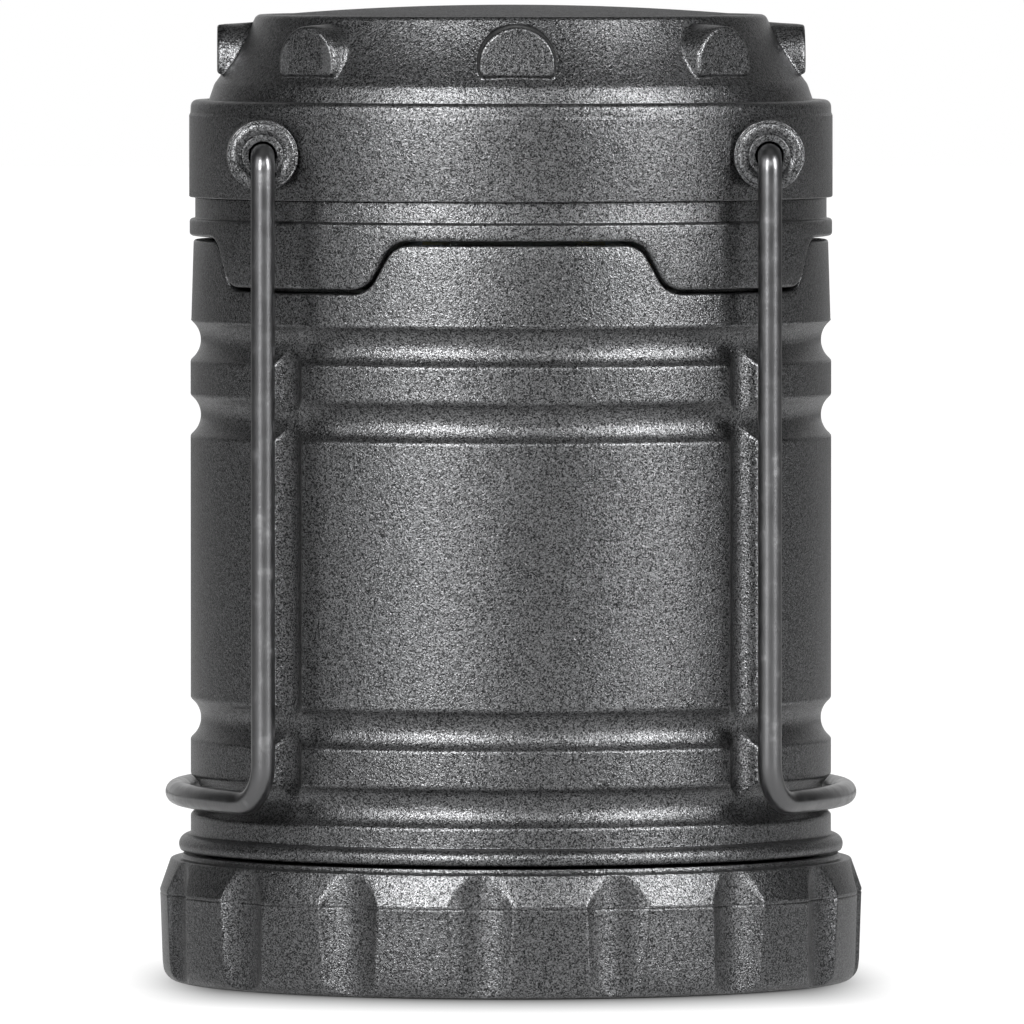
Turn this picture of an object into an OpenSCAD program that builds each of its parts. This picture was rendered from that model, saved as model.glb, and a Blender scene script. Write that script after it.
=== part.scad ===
// Pull-up camping lantern: a ribbed lower housing, a twist-off base cap, a sliding head that
// carries the clear globe and the light column, and two wire bails.
// +Z is up, the floor is z = 0, the housing's axis is the Z axis and the front faces -Y.

/* [Housing] */
// Outer radius of the housing's plain wall
sleeve_r = 40.6; // [40.4:0.1:40.8]
// Radius of the bore that the slide ring runs in
sleeve_bore_r = 38; // [37.95:0.05:38.1]
// Radius at the very top of the housing, where the wall has drafted in
sleeve_top_r = 40.2; // [40:0.1:40.5]
// Height at which the draft of the upper wall starts
draft_z = 83.8; // [83.7:0.1:84.5]
// Outer radius of the bead above the base cap
bead_r = 42.1; // [41.6:0.1:42.4]
// Underside of the bead
bead_z = 16.6; // [16.6:0.1:16.8]
// Radius of the bead's round section
bead_round = 1.3; // [1.1:0.1:1.3]
// Depth of the round grooves
groove_depth = 1.3; // [1:0.1:1.4]
// Section radius of the round grooves
groove_round = 3.05; // [2.8:0.05:3.2]
// Depth of the upright flutes
flute_depth = 1.22; // [1:0.02:1.25]
// Section radius of the upright flutes
flute_round = 3.25; // [3:0.05:3.5]

/* [Seam] */
// Top of the housing's four tabs
tab_top_z = 93.9; // [93:0.1:94]
// Bottom of the valleys between the tabs
valley_z = 87.75; // [87.6:0.05:88]
// Half width of a tab at its top, before rounding
tab_top_half = 15.45; // [14:0.05:16]
// Half width of a tab at the valley, before rounding
tab_foot_half = 18.7; // [18:0.1:19.5]
// Corner radius of the wavy seam
tab_round = 3.2; // [2:0.1:3.3]
// Gap between the housing and the head along the seam
seam_gap = 0.5; // [0.4:0.05:0.6]

/* [Base cap] */
// Outer radius of the base cap
base_r = 44.5; // [44:0.1:45]
// Height of the base cap
base_h = 16.3; // [16:0.1:16.3]
// Number of finger scallops
scallops = 16; // [12:1:18]
// Radius of the scallop floors, measured from the axis
scallop_floor_r = 43.1; // [42.8:0.1:43.4]
// Section radius of a scallop
scallop_round = 7.6; // [6:0.1:9]
// Angle of one scallop from the front
scallop_start = -6.1; // [-11:0.1:11]
// Twist that frees the bayonet
twist_deg = 30; // [20:1:35]

/* [Head] */
// Outer radius of the head's skirt
skirt_r = 40.7; // [40.5:0.1:41]
// Outer radius of the collar
collar_r = 40.76; // [40.5:0.02:41]
// Bottom of the collar
collar_z = 99.3; // [99.2:0.1:99.4]
// Top of the collar
collar_top_z = 111.6; // [111.5:0.1:111.7]
// Radius of the round boss around each bail pin
ear_r = 4.45; // [4:0.05:4.6]
// Distance of an ear's face from the XZ plane
ear_face_y = 31.5; // [31.3:0.1:31.6]
// Number of bumps around the cap
bumps = 8; // [6:1:10]
// Top of the rim of the cap
rim_z = 122.4; // [122.2:0.1:122.6]
// Rise of the domed disc above the rim
dome_rise = 1.2; // [0.8:0.1:1.4]

/* [Bails] */
// Diameter of the bail wire
wire_d = 3; // [2.8:0.1:3]
// Distance of the bail pins from the YZ plane
pivot_x = 31.7; // [31.5:0.1:31.9]
// Height of the bail pins
pivot_z = 105; // [104.8:0.1:105.2]
// Distance of the bail legs from the XZ plane
leg_y = 33.4; // [33.4:0.1:33.8]
// Height of the bight while the bail hangs
bight_z = 23.9; // [23.5:0.1:24.4]
// Radius of the bend between a leg and the bight
corner_bend = 5; // [4:0.5:6]
// Angle by which the bight turns out from the Y direction at each end
bight_turn = 30.9; // [30.9:0.1:33]
// Running clearance between a pin and its bush, on the radius
pin_clearance = 0.08; // [0.04:0.01:0.1]

/* [Globe and light] */
// Outer radius of the clear globe
globe_r = 36.9; // [36.7:0.1:36.9]
// Wall of the clear globe
globe_wall = 2; // [1.5:0.1:2.2]
// Travel of the head
lift = 58; // [40:1:58]
// Half of the light column's width across flats
column_flat = 19.2; // [19.1:0.1:19.5]
// Faces on the light column
column_faces = 6; // [6:1:6]
// Lights on each face
leds_per_face = 5; // [3:1:5]

/* [Cells] */
// Diameter of a cell
cell_d = 14.2; // [13.5:0.1:14.4]
// Length of a cell's can
cell_h = 49.9; // [49:0.1:49.9]
// Distance of each cell's axis from the lantern's axis
cell_pitch_r = 9.1; // [9:0.1:9.2]
// Number of cells
cells = 3; // [3:1:3]

/* [Hidden] */
$fn = 96;
eps = 0.01;
groove_z = [23.65, 33.3, 71.7, 81.2];
spigot_r = 39;
spigot_bore_r = 36.5;
spigot_z = 4.5;
shoulder_z = 19;
ring_z = 22;
ring_h = 5;
ring_r = sleeve_bore_r - 0.3;
ring_floor = 2;
lip_r = globe_r + 0.3;
lip_z = ring_z + ring_h + lift + 0.2;
lip_h = 2.2;
seal_r = 0.75;
seal_z = 14.1;
lug_r = 40.5;
lug_z = 6;
lug_h = 2.4;
lug_deg = 12;
lug_angles = [30, 150, 270];
slot_clearance = 0.4;
slot_extra_deg = 2;
base_bore_r = spigot_r + 0.4;
base_floor = 2.6;
bulkhead_h = 2;
bulkhead_top_z = shoulder_z + bulkhead_h;
tube_r = 17.6;
tube_z = 9.5;
tube_top_z = 62;
tube_roof = 2;
tube_flange_r = 24;
cell_z = 8.5;
cell_bore_r = cell_d / 2 + 0.4;
contact_t = 0.4;
strip_z = 33;
strip_w = 5;
strip_in_r = 37.3;
strip_out_r = 37.9;
notch_r = 36.5;
notch_w = 6.4;
wiper_out_r = strip_in_r - 0.1;
lead_r = 0.5;
lead_x = 21;
lead_z = ring_z + 1;
plate_z = 96.4;
plate_hole_r = 6;
globe_z = ring_z + ring_floor;
globe_top_z = plate_z - 0.2;
column_z = 36;
column_bore_r = 18;
column_roof_z = 94;
board_t = 1.2;
board_w = 17;
board_z = 40;
board_h = 50;
led_w = 3.5;
led_h = 3;
led_t = 1.4;
skirt_bore_r = globe_r + 0.3;
flange_top_z = 96.6;
neck_r = 40;
collar_bore_r = 37.9;
cap_seat_z = 109.6;
cap_seat_r = 38.6;
cap_foot_z = 105.5;
cap_foot_r = 37.6;
cap_shoulder_r = 38.3;
rim_r = 32.5;
disc_r = 30.9;
bush_r = 2.65;
bush_y = 25.4;
wire_r = wire_d / 2;
bead_mid_z = bead_z + 0.7;
pin_end_y = 25.8;
top_bend = 1.8;
pin_shoulder_y = 31.3;
sides = [-1, 1];
quarters = [0, 90, 180, 270];
strip_angles = [0, 180];

// ---- shared shapes ----

function arc(x, z, r, from, to, steps = 8) =
    [for (i = [0:steps]) let (a = from + (to - from) * i / steps) [x + r * cos(a), z + r * sin(a)]];

module tube(outer, inner, z, top) {
    translate([0, 0, z]) difference() {
        cylinder(r = outer, h = top - z);
        translate([0, 0, -1]) cylinder(r = inner, h = top - z + 2);
    }
}

module torus(ring, section, z) {
    translate([0, 0, z]) rotate_extrude() translate([ring, 0]) circle(r = section);
}

module disc(r, z, h) {
    translate([0, 0, z]) cylinder(r = r, h = h);
}

module ring_sector(inner, outer, z, h, from, sweep) {
    translate([0, 0, z]) rotate([0, 0, from]) rotate_extrude(angle = sweep)
        translate([inner, 0]) square([outer - inner, h]);
}

// Places its children at radius r on each listed angle.
module around(angles, r = 0) {
    for (a = angles) rotate([0, 0, a]) translate([r, 0, 0]) children();
}

function even_angles(n, start = 0) = [for (i = [0:n - 1]) start + 360 * i / n];

// A pan-head screw with its head on +Z and a cross recess; z is where the head meets the work.
module screw(shank_r, shank_h, head_r, head_h) {
    recess = head_h * 0.55;
    difference() {
        union() {
            translate([0, 0, -shank_h]) cylinder(r = shank_r, h = shank_h + eps, $fn = 32);
            cylinder(r = head_r, h = head_h, $fn = 32);
        }
        for (turn = [0, 90]) rotate([0, 0, turn])
            translate([-head_r * 0.6, -head_r * 0.13, head_h - recess])
            cube([head_r * 1.2, head_r * 0.26, recess + 1]);
    }
}

// ---- the wavy seam ----

// Half outline of a tab, from its rounded top corner to its rounded foot.
module tab_outline(grow = 0) {
    slope = atan2(tab_top_z - valley_z, tab_foot_half - tab_top_half);
    slant = grow / sin(slope);
    top_x = tab_top_half + slant - grow / tan(slope);
    foot_x = tab_foot_half + slant;
    top = tab_top_z + grow;
    head = arc(top_x - tab_round * tan(slope / 2), top - tab_round, tab_round, 90, 90 - slope, 6);
    foot = arc(foot_x + tab_round * tan(slope / 2), valley_z + tab_round, tab_round,
        270 - slope, 270, 6);
    half = concat(head, foot);
    other = [for (i = [len(half) - 1:-1:0]) [-half[i][0], half[i][1]]];
    polygon(concat(half, [[foot_x + 9, valley_z - 1], [-foot_x - 9, valley_z - 1]], other));
}

// Prisms standing out from the axis through all four tabs.
module tab_prisms(grow = 0) {
    for (a = quarters) rotate([0, 0, a]) rotate([90, 0, 0]) translate([0, 0, 20])
        linear_extrude(height = 30) tab_outline(grow);
}

// ---- lower housing ----

module body_sleeve() {
    color("#55575a") difference() {
        union() {
            disc(spigot_r, spigot_z, bead_z - spigot_z + eps);
            disc(sleeve_r, bead_z, draft_z - bead_z);
            difference() {
                torus(bead_r - bead_round, bead_round, bead_mid_z);
                disc(bead_r + 1, bead_mid_z - bead_round - 1, bead_z - bead_mid_z + bead_round + 1);
            }
            sleeve_top();
            for (a = lug_angles)
                ring_sector(spigot_r - 1, lug_r, lug_z, lug_h, a - lug_deg / 2, lug_deg);
        }
        disc(spigot_bore_r, 0, shoulder_z + eps);
        difference() {
            disc(sleeve_bore_r, shoulder_z, tab_top_z);
            difference() {
                disc(sleeve_bore_r + 1, lip_z, lip_h);
                disc(lip_r, lip_z - 1, lip_h + 2);
            }
        }
        for (z = groove_z)
            torus(sleeve_r - groove_depth + groove_round, groove_round, z);
        around(even_angles(4, 45), sleeve_r - flute_depth + flute_round)
            disc(flute_round, groove_z[0], groove_z[3] - groove_z[0]);
        tube(spigot_r + 1, spigot_r - 1.3, seal_z - 0.9, seal_z + 0.9);
    }
    color("#55575a") sleeve_pads();
}

// The drafted wall above the top groove, cut into four tabs.
module sleeve_top() {
    disc_h = valley_z - draft_z;
    difference() {
        translate([0, 0, draft_z]) cylinder(r1 = sleeve_r - 0.1, r2 = sleeve_top_r,
            h = tab_top_z - draft_z);
        difference() {
            disc(sleeve_r + 2, draft_z + disc_h, tab_top_z);
            tab_prisms();
        }
    }
}

// Three pads inside the spigot that take the bulkhead's screws.
module sleeve_pads() {
    pad_h = 2;
    difference() {
        intersection() {
            around(even_angles(3, 90), 34) disc(4.5, shoulder_z - pad_h, pad_h);
            disc(spigot_bore_r + 0.5, 0, shoulder_z);
        }
        around(even_angles(3, 90), 34) disc(1.5, shoulder_z - pad_h - 1, pad_h + 2);
    }
}

module bulkhead() {
    color("#2c2d2f") difference() {
        disc(sleeve_bore_r - 0.3, shoulder_z, bulkhead_h);
        disc(tube_r + 0.3, shoulder_z - 1, bulkhead_h + 2);
        around(even_angles(3, 90), 34) disc(1.3, shoulder_z - 1, bulkhead_h + 2);
        around(even_angles(3, 30), 21) disc(1.3, shoulder_z - 1, bulkhead_h + 2);
    }
}

module battery_tube() {
    color("#303236") difference() {
        union() {
            disc(tube_r, tube_z, tube_top_z - tube_z);
            disc(tube_flange_r, shoulder_z - 2, 2);
        }
        around(even_angles(cells, 90), cell_pitch_r)
            disc(cell_bore_r, tube_z - 1, tube_top_z - tube_roof - tube_z + 1);
        around(even_angles(3, 30), 21) disc(1.5, shoulder_z - 3, 4);
    }
}

module aa_batteries() {
    nub_r = 2.7;
    nub_h = 1;
    color("#8a6a3a") around(even_angles(cells, 90), cell_pitch_r) {
        disc(cell_d / 2, cell_z, cell_h);
        disc(nub_r, cell_z + cell_h - eps, nub_h);
    }
}

module positive_contacts() {
    color("#c9b26a") around(even_angles(cells, 90), cell_pitch_r)
        disc(4.5, tube_top_z - tube_roof - contact_t, contact_t);
}

// Flat strips up the bore: the wide part is bare, the narrow tail below it is out of reach
// of the wipers, which is what switches the light off when the head is down.
module contact_strips() {
    tail_w = 2;
    color("#c9a24a") around(strip_angles) {
        translate([strip_in_r, -strip_w / 2, strip_z])
            cube([strip_out_r - strip_in_r, strip_w, lip_z - strip_z - 0.1]);
        translate([strip_out_r - 0.3, -tail_w / 2, bulkhead_top_z])
            cube([0.3, tail_w, strip_z - bulkhead_top_z + eps]);
    }
}

module inner_screws() {
    color("#b8bac0") {
        around(even_angles(3, 90), 34) translate([0, 0, shoulder_z - 2]) mirror([0, 0, 1])
            screw(1.25, 3.8, 2.4, 1.5);
        around(even_angles(3, 30), 21) translate([0, 0, shoulder_z - 2]) mirror([0, 0, 1])
            screw(1.25, 3.8, 2.4, 1.5);
    }
}

module base_seal() {
    color("#1b1b1b") torus(spigot_r - 0.5, seal_r, seal_z);
}

// ---- twist-off base ----

module base_cap() {
    bottom_round = 1.7;
    top_round = 0.35;
    chamfer_z = 11.3;
    shelf_z = base_h - 0.65;
    rim_ring_r = 41.75;
    slot_r = lug_r + slot_clearance;
    slot_z = lug_z - 0.3;
    half_slot = lug_deg / 2 + slot_extra_deg;
    outline = concat(
        [[0, 0]],
        arc(base_r - 0.45 - bottom_round, bottom_round, bottom_round, 270, 360),
        [[base_r, chamfer_z]],
        arc(scallop_floor_r - top_round, shelf_z - top_round, top_round, 20, 90),
        [[rim_ring_r, shelf_z], [rim_ring_r, base_h], [0, base_h]]);
    color("#4b4d50") difference() {
        rotate_extrude() polygon(outline);
        disc(base_bore_r, base_floor, base_h);
        around(even_angles(scallops, scallop_start - 90), scallop_floor_r + scallop_round)
            disc(scallop_round, -1, base_h + 2);
        around([0, 180], 20) disc(1.1, base_floor - 1, 2);
        for (a = lug_angles) {
            ring_sector(base_bore_r - 1, slot_r, slot_z, lug_h + 0.7,
                a - twist_deg - half_slot, twist_deg + 2 * half_slot);
            ring_sector(base_bore_r - 1, slot_r, slot_z, base_h,
                a - twist_deg - half_slot, 2 * half_slot);
        }
    }
    color("#4b4d50") difference() {
        around([0, 180], 20) disc(3, base_floor - eps, 1 + eps);
        around([0, 180], 20) disc(1.1, base_floor - 1, 3);
    }
}

module contact_board() {
    color("#1f5a3a") difference() {
        disc(24, base_floor + 1, 1.6);
        around([0, 180], 20) disc(1.3, base_floor, 4);
    }
}

// A conical coil spring: the wire's centre line climbs and winds in as it goes.
function coil_point(t, turns, low_r, high_r, climb) =
    let (r = low_r + (high_r - low_r) * t, a = 360 * turns * t)
    [r * cos(a), r * sin(a), climb * t];

module coil(turns, low_r, high_r, climb, section) {
    rings = 54;
    edges = 8;
    points = [for (i = [0:rings]) let (
        t = i / rings, p = coil_point(t, turns, low_r, high_r, climb), a = 360 * turns * t)
        for (k = [0:edges - 1]) let (b = 360 * k / edges)
        [p[0] + section * cos(b) * cos(a), p[1] + section * cos(b) * sin(a),
         p[2] + section * sin(b)]];
    walls = [for (i = [0:rings - 1], k = [0:edges - 1]) let (n = (k + 1) % edges)
        [i * edges + k, i * edges + n, (i + 1) * edges + n, (i + 1) * edges + k]];
    ends = [[for (k = [edges - 1:-1:0]) k], [for (k = [0:edges - 1]) rings * edges + k]];
    polyhedron(points = points, faces = concat(walls, ends), convexity = 6);
}

module contact_springs() {
    wire = 0.4;
    foot = base_floor + 2.6 + wire;
    color("#b8bac0") around(even_angles(cells, 90), cell_pitch_r) translate([0, 0, foot])
        coil(3, 5, 2.2, cell_z - 0.1 - wire - foot, wire);
}

module board_screws() {
    color("#b8bac0") around([0, 180], 20) translate([0, 0, base_floor + 2.6])
        screw(1, 3.4, 2.1, 1.2);
}

// ---- sliding head ----

module skirt_ring() {
    post_h = 2.7;
    color("#55575a") difference() {
        union() {
            difference() {
                disc(skirt_r, valley_z + seam_gap, flange_top_z - valley_z - seam_gap);
                tab_prisms(seam_gap);
            }
            disc(neck_r, flange_top_z - 1, collar_z - flange_top_z + 1);
            around(even_angles(3, 30), 19) disc(2.5, collar_z - eps, post_h);
        }
        disc(skirt_bore_r, valley_z - 1, plate_z - valley_z + 1);
        disc(plate_hole_r, plate_z - 1, 5);
        around(even_angles(3, 90), 12) disc(1.5, plate_z - 1, 5);
        around(even_angles(3, 30), 19) disc(0.9, collar_z, post_h + 1);
        around(quarters, 32) {
            disc(1.5, plate_z - 1, 5);
            disc(2.5, plate_z - 1, 2.6);
        }
    }
}

// Turns +Z into the outward direction of one ear.
module on_ear(side_x, side_y) {
    translate([side_x * pivot_x, 0, pivot_z]) rotate([-90 * side_y, 0, 0]) children();
}

module collar() {
    edge = 1.4;
    lip = 0.9;
    post_h = cap_foot_z - 0.3 - collar_z;
    color("#55575a") difference() {
        union() {
            disc(collar_r, collar_z, collar_top_z - edge - collar_z);
            disc(collar_r - edge, collar_z, collar_top_z - collar_z);
            torus(collar_r - edge, edge, collar_top_z - edge);
            for (x = sides, y = sides) on_ear(x, y) {
                disc(ear_r, 15, ear_face_y - lip - 15);
                disc(ear_r - lip, 15, ear_face_y - 15);
                torus(ear_r - lip, lip, ear_face_y - lip);
            }
        }
        disc(collar_bore_r, collar_z - 1, 30);
        disc(cap_seat_r, cap_seat_z, 10);
        for (x = sides, y = sides) on_ear(x, y) {
            disc(bush_r + 0.05, bush_y - 0.2, 10);
            translate([0, 0, ear_face_y - 0.4]) cylinder(r1 = bush_r, r2 = bush_r + 0.5, h = 0.41);
        }
    }
    color("#55575a") difference() {
        union() {
            around(quarters, 32) disc(3.2, collar_z, post_h);
            around(quarters) translate([33, -1.2, collar_z]) cube([5.2, 2.4, post_h]);
        }
        around(quarters, 32) disc(1.2, collar_z - 1, post_h);
    }
}

module ear_bushes() {
    bore = wire_r + pin_clearance;
    color("#6a6c70") for (x = sides, y = sides) on_ear(x, y) difference() {
        disc(bush_r, bush_y, ear_face_y - 0.3 - bush_y);
        disc(bore, bush_y - 1, 10);
        translate([0, 0, ear_face_y - 0.9]) cylinder(r1 = bore, r2 = bore + 0.27, h = 0.61);
    }
}

module cap_shell() {
    rim_round = 0.8;
    brow_r = 37.45;
    brow_z = 113.75;
    inner_step = 1.5;
    outside = concat(
        [[cap_foot_r - 2.4, cap_foot_z], [cap_foot_r, cap_foot_z], [cap_foot_r, cap_seat_z + 0.1],
         [cap_shoulder_r, cap_seat_z + 0.1]],
        [[cap_shoulder_r, collar_top_z], [brow_r, brow_z]],
        arc(rim_r - rim_round, rim_z - rim_round, rim_round, 20, 90),
        [[disc_r + 0.1, rim_z], [disc_r + 0.1, rim_z - inner_step],
         [disc_r - 3, rim_z - inner_step], [disc_r - 3, rim_z - inner_step - 1.4],
         [rim_r - 2, rim_z - inner_step - 1.4], [cap_foot_r - 2.4, brow_z]]);
    color("#55575a") difference() {
        union() {
            rotate_extrude() polygon(outside);
            cap_bumps();
        }
        tube(cap_foot_r + 1, cap_foot_r - 1.2, cap_foot_z + 1, cap_foot_z + 2.7);
    }
}

// D-shaped bumps with flat undersides and upright outer faces.
module cap_bumps() {
    half = 5.1;
    face_x = 37.3;
    root_x = 31.5;
    centre_z = 116.4;
    foot_z = 114.6;
    around(even_angles(bumps)) intersection() {
        translate([root_x, 0, 0]) union() {
            translate([0, 0, centre_z]) rotate([0, 90, 0]) cylinder(r = half, h = face_x - root_x);
            translate([0, -half, foot_z]) cube([face_x - root_x, 2 * half, centre_z - foot_z]);
        }
        translate([root_x - 1, -half, foot_z]) cube([10, 2 * half, 10]);
    }
}

module cap_disc() {
    edge_z = rim_z - 0.2;
    rise = rim_z + dome_rise - edge_z;
    ball = (disc_r * disc_r + rise * rise) / (2 * rise);
    dome = arc(0, rim_z + dome_rise - ball, ball, 90 - asin(disc_r / ball), 90, 6);
    color("#5a5c5f") rotate_extrude()
        polygon(concat([[0, rim_z - 1.5], [disc_r, rim_z - 1.5]], dome));
}

module cap_seal() {
    color("#1b1b1b") torus(collar_bore_r - 0.78, 0.7, cap_foot_z + 1.85);
}

module globe() {
    color([0.9, 0.95, 1, 0.35]) tube(globe_r, globe_r - globe_wall, globe_z, globe_top_z);
}

module slide_ring() {
    color("#3a3c40") difference() {
        disc(ring_r, ring_z, ring_h);
        disc(33, ring_z - 1, ring_h + 2);
        disc(globe_r + 0.05, globe_z, ring_h);
        around(strip_angles) {
            translate([notch_r, -notch_w / 2, ring_z - 1]) cube([3, notch_w, ring_h + 2]);
            translate([32, -0.7, lead_z - 0.7]) cube([5, 1.4, 1.4]);
        }
    }
}

module wipers() {
    wiper_w = 4;
    color("#c9a24a") around(strip_angles) {
        translate([globe_r + 0.05, -wiper_w / 2, ring_z + 0.3])
            cube([wiper_out_r - globe_r - 0.05, wiper_w, ring_h - 0.5]);
        translate([notch_r + 0.02, -wiper_w / 2, ring_z + 0.3])
            cube([wiper_out_r - notch_r - 0.02, wiper_w, 1.4]);
    }
}

module lead_wires() {
    color("#a02020") around(strip_angles) {
        translate([lead_x, 0, lead_z]) rotate([0, 90, 0])
            cylinder(r = lead_r, h = notch_r - lead_x, $fn = 24);
        translate([lead_x, 0, lead_z]) cylinder(r = lead_r, h = board_z + 2 - lead_z, $fn = 24);
        translate([lead_x, 0, lead_z]) sphere(r = lead_r, $fn = 24);
    }
}

// A thin conical dish between the column and the globe.
module dish(inner_z, outer_z) {
    wall = 0.8;
    inner = 23.2;
    outer = globe_r - globe_wall - 0.2;
    rotate_extrude() polygon([[inner, inner_z], [outer, outer_z], [outer, outer_z + wall],
        [inner, inner_z + wall]]);
}

module upper_reflector() {
    color("#e4e6ea") dish(91, 95.2);
}

module lower_reflector() {
    color("#e4e6ea") dish(37.2, 34.7);
}

module led_column() {
    corner_r = column_flat / cos(30);
    color("#eeeeee") difference() {
        translate([0, 0, column_z]) rotate([0, 0, 30])
            cylinder(r = corner_r, h = plate_z - 0.1 - column_z, $fn = 6);
        disc(column_bore_r, column_z - 1, column_roof_z - column_z + 1);
        disc(4, column_roof_z - 1, 5);
        around(even_angles(3, 90), 12) disc(1.1, column_roof_z - 1, 5);
    }
}

module led_boards() {
    color("#f2f2ee") around(even_angles(column_faces), column_flat + 0.05)
        translate([0, -board_w / 2, board_z]) cube([board_t, board_w, board_h]);
}

module led_chips() {
    pitch = board_h / leds_per_face;
    color("#f0d860") around(even_angles(column_faces), column_flat + 0.05 + board_t)
        for (i = [0:leds_per_face - 1])
            translate([0, -led_w / 2, board_z + pitch * (i + 0.5) - led_h / 2])
            cube([led_t, led_w, led_h]);
}

module driver_board() {
    board_low = collar_z + 2.7;
    color("#1f5a3a") difference() {
        union() {
            disc(24, board_low, 1.6);
            translate([0, -8, board_low + 1.5]) cylinder(r = 3.5, h = 3.1);
            translate([-11, 2, board_low + 1.5]) cube([6, 5, 1.7]);
            translate([6, 4, board_low + 1.5]) cylinder(r = 2.2, h = 4.1);
        }
        around(even_angles(3, 30), 19) disc(1.2, board_low - 1, 4);
    }
}

module driver_screws() {
    color("#b8bac0") around(even_angles(3, 30), 19) translate([0, 0, collar_z + 4.3])
        screw(0.85, 3.9, 1.9, 1.2);
}

module column_screws() {
    color("#b8bac0") around(even_angles(3, 90), 12) translate([0, 0, collar_z])
        screw(1.05, 4.8, 2.2, 1.5);
}

module collar_screws() {
    color("#b8bac0") around(quarters, 32) translate([0, 0, plate_z + 1.6]) mirror([0, 0, 1])
        screw(1.15, 5.5, 2.3, 1.5);
}

// ---- bails ----

// Points of an arc: centre + bend * (cos a * first + sin a * second), a from 0 to turn.
function bend_points(centre, bend, first, second, turn, steps) =
    [for (i = [1:steps]) let (a = turn * i / steps) centre + bend * (cos(a) * first + sin(a) * second)];

// Centre line of half a bail on the +X side: out of the pin, over the top bend, down the leg,
// round the corner and along the bight to its middle.
function half_bail_path() = let (
    away = [sin(bight_turn), -cos(bight_turn), 0],
    elbow = [pivot_x, leg_y - top_bend, pivot_z - top_bend],
    corner = [pivot_x, leg_y, bight_z + corner_bend] + corner_bend * away,
    foot = corner - [0, 0, corner_bend],
    bight_r = foot[1] / sin(bight_turn),
    middle = [foot[0] - bight_r * cos(bight_turn), 0, bight_z])
    concat(
        [[pivot_x, pin_shoulder_y - 0.4, pivot_z], elbow + [0, 0, top_bend]],
        bend_points(elbow, top_bend, [0, 0, 1], [0, 1, 0], 90, 6),
        [corner - corner_bend * away],
        bend_points(corner, corner_bend, -away, [0, 0, -1], 90, 8),
        bend_points(middle, bight_r, [cos(bight_turn), sin(bight_turn), 0],
            [sin(bight_turn), -cos(bight_turn), 0], bight_turn, 9));

function unit(v) = v / norm(v);

// Direction of a path at point i, from its neighbours.
function heading(path, i) =
    unit(path[min(i + 1, len(path) - 1)] - path[max(i - 1, 0)]);

// Round wire along a path that never runs parallel to X.
module wire(path, r, edges = 12) {
    last = len(path) - 1;
    points = [for (i = [0:last]) let (
        t = heading(path, i), u = unit([1, 0, 0] - t[0] * t), v = cross(t, u))
        for (k = [0:edges - 1]) let (b = 360 * k / edges) path[i] + r * (cos(b) * u + sin(b) * v)];
    walls = [for (i = [0:last - 1], k = [0:edges - 1]) let (n = (k + 1) % edges)
        [i * edges + n, i * edges + k, (i + 1) * edges + k, (i + 1) * edges + n]];
    ends = [[for (k = [0:edges - 1]) k], [for (k = [edges - 1:-1:0]) last * edges + k]];
    polyhedron(points = points, faces = concat(walls, ends), convexity = 8);
}

// The bail on the +X side: two round pins, and the formed wire that starts inside them.
module formed_bail() {
    half = half_bail_path();
    other = [for (i = [len(half) - 2:-1:0]) [half[i][0], -half[i][1], half[i][2]]];
    color("#6d6f73") {
        wire(concat(half, other), wire_r - 0.01);
        for (side = [-1, 1]) translate([pivot_x, side * pin_end_y, pivot_z])
            rotate([-90 * side, 0, 0]) cylinder(r = wire_r, h = pin_shoulder_y - pin_end_y);
    }
}

module left_bail() {
    rotate([0, 0, 180]) formed_bail();
}

module right_bail() {
    formed_bail();
}

body_sleeve();
bulkhead();
battery_tube();
aa_batteries();
positive_contacts();
contact_strips();
inner_screws();
base_seal();
base_cap();
contact_board();
contact_springs();
board_screws();
skirt_ring();
collar();
ear_bushes();
cap_shell();
cap_disc();
cap_seal();
globe();
slide_ring();
wipers();
lead_wires();
upper_reflector();
lower_reflector();
led_column();
led_boards();
led_chips();
driver_board();
driver_screws();
column_screws();
collar_screws();
left_bail();
right_bail();
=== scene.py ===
"""A closed pull-up camping lantern in gunmetal flake paint, with wire bails, on a pale floor.

Shells are grids worked out with numpy: a ring of angles carried up a rounded profile. The
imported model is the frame, and every new piece rides on one of its bodies.
Lengths are in millimetres and become metres when a mesh is made.
"""
import math

import bmesh
import bpy
import numpy as np
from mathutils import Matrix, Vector


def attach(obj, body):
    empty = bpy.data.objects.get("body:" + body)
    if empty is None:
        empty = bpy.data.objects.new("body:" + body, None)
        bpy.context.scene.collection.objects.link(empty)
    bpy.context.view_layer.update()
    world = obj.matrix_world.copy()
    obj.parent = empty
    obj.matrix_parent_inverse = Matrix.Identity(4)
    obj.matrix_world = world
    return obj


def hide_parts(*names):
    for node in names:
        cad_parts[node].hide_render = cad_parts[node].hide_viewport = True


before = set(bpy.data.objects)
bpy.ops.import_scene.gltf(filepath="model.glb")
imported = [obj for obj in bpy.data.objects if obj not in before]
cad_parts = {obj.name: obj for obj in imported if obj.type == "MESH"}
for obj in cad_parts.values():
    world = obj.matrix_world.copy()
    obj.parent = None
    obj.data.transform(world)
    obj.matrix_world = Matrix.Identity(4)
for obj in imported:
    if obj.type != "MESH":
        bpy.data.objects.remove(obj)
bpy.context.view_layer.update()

MM = 0.001

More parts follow.
